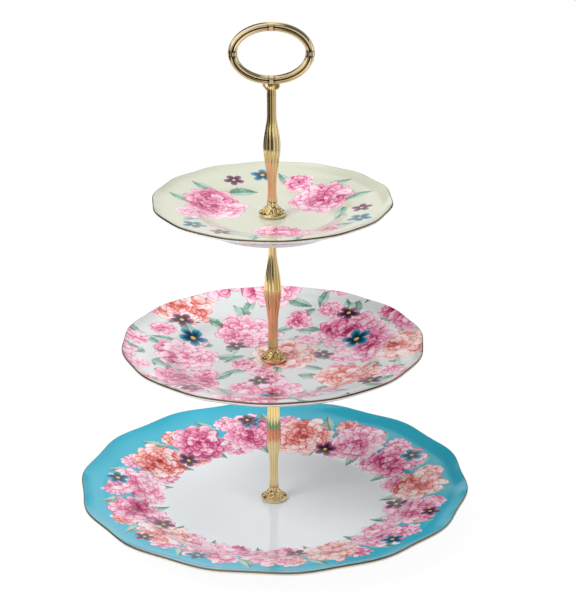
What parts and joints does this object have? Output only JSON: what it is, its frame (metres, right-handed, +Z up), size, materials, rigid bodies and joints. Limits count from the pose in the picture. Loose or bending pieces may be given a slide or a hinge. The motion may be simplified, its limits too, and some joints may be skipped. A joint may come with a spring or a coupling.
{
  "type": "three-tier cake stand",
  "caption": "Tiered cake stand: round scalloped china plates of falling size clamped on a gilt fluted stem, with an oval loop handle on top.",
  "frame": {"origin": "on the table, at the bottom centre of the stand, on the stem's axis", "axes": "+Z up along the stem; the handle's loop lies in the XZ plane, so its opening is seen from the front, which is -Y"},
  "size_m": [0.2708, 0.2706, 0.3536],
  "materials": {
    "china_bottom": "glossy glazed bone china, turquoise rim, floral border, white well, gilt edge",
    "china_middle": "glossy glazed bone china, white ground under an all-over floral print, gilt edge",
    "china_top": "glossy glazed bone china, pale cream ground with scattered flowers, gilt edge",
    "gilt": "polished pale gold plating",
    "steel": "bright zinc-plated thread",
    "soft_washer": "milky translucent silicone"
  },
  "bodies": {
    "bottom_plate": {"bottom_plate": "china_bottom", "bottom_cushion_washer": "soft_washer", "lower_seat_washer": "soft_washer"},
    "lower_stem": {"lower_rod": "gilt", "lower_collar": "gilt", "base_screw": "steel", "bottom_metal_washer": "gilt", "middle_metal_washer": "gilt"},
    "middle_plate": {"middle_plate": "china_middle", "middle_cushion_washer": "soft_washer"},
    "middle_lift": {"middle_seat_washer": "soft_washer"},
    "middle_stem": {"middle_rod": "gilt", "middle_collar": "gilt", "middle_stud": "steel", "top_metal_washer": "gilt"},
    "top_plate": {"top_plate": "china_top", "top_cushion_washer": "soft_washer"},
    "handle_lift": {"upper_seat_washer": "soft_washer"},
    "handle": {"upper_rod": "gilt", "upper_collar": "gilt", "upper_stud": "steel", "handle_stud": "steel", "handle_collet": "gilt", "handle_loop": "gilt"}
  },
  "joints": [
    {"name": "stem_turn", "type": "hinge", "parent": "bottom_plate", "child": "lower_stem", "pos_m": [0, 0, 0], "axis": [0, 0, 1], "continuous": true},
    {"name": "middle_plate_turn", "type": "hinge", "parent": "lower_stem", "child": "middle_plate", "pos_m": [0, 0, 0.1148], "axis": [0, 0, 1], "continuous": true},
    {"name": "middle_stem_lift", "type": "slide", "parent": "lower_stem", "child": "middle_lift", "axis": [0, 0, 1], "range_m": [0, 0.0056]},
    {"name": "middle_stem_unscrew", "type": "hinge", "parent": "middle_lift", "child": "middle_stem", "pos_m": [0, 0, 0.1159], "axis": [0, 0, 1], "range_deg": [0, 2881]},
    {"name": "top_plate_turn", "type": "hinge", "parent": "middle_stem", "child": "top_plate", "pos_m": [0, 0, 0.2201], "axis": [0, 0, 1], "continuous": true},
    {"name": "handle_lift", "type": "slide", "parent": "middle_stem", "child": "handle_lift", "axis": [0, 0, 1], "range_m": [0, 0.0056]},
    {"name": "handle_unscrew", "type": "hinge", "parent": "handle_lift", "child": "handle", "pos_m": [0, 0, 0.2212], "axis": [0, 0, 1], "range_deg": [0, 2881]}
  ],
  "couplings": [
    {"joint": "middle_stem_unscrew", "follows": "middle_stem_lift", "rad_per_m": 8976},
    {"joint": "handle_unscrew", "follows": "handle_lift", "rad_per_m": 8976}
  ]
}
